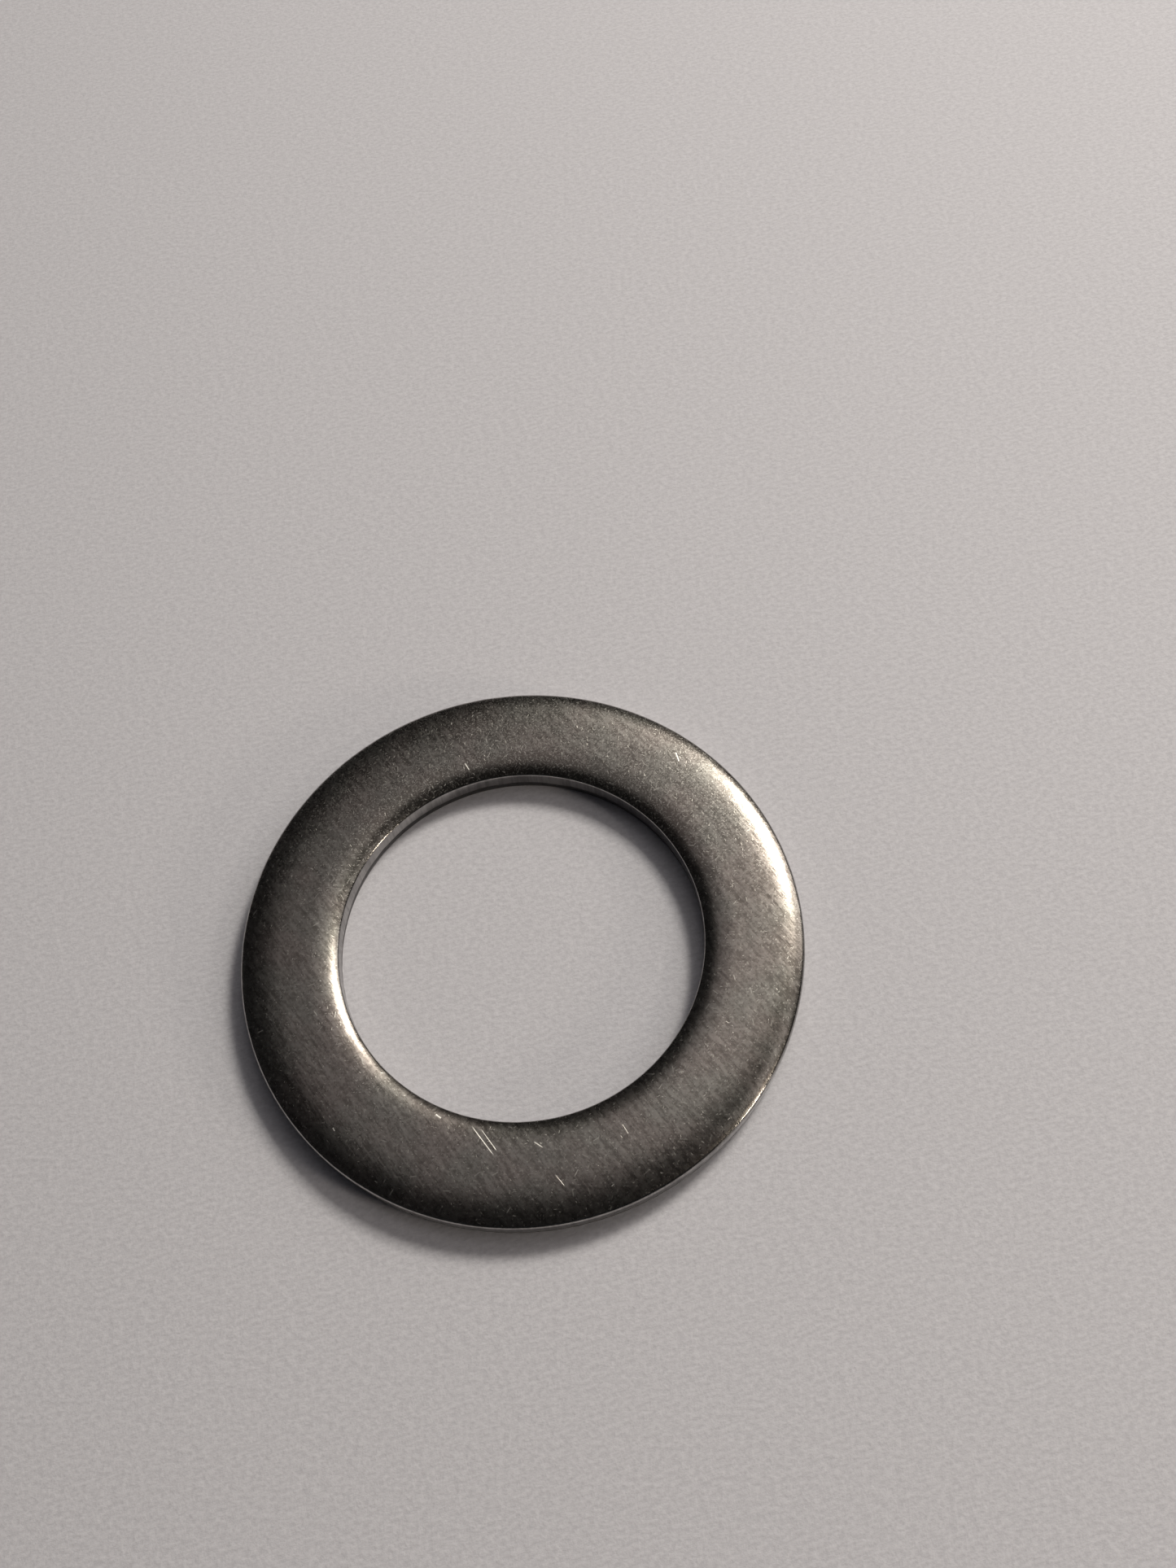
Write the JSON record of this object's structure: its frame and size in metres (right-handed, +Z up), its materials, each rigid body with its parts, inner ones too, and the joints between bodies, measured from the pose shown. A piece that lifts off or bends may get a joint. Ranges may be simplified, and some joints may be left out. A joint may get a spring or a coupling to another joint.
{
  "type": "flat washer",
  "caption": "Flat steel ring washer with a large plain bore, die-rolled upper edges and a flat lower bearing face.",
  "frame": {"origin": "centre of the bore in the plane of the lower, sharp-edged bearing face", "axes": "+Z up the bore axis, from the lower bearing face towards the upper face with the rolled edges"},
  "size_m": [0.04, 0.04, 0.0025],
  "materials": {
    "steel": "bare steel, tumbled to a dark satin with fine random scratches"
  },
  "bodies": {
    "root": {"washer": "steel"}
  },
  "joints": []
}
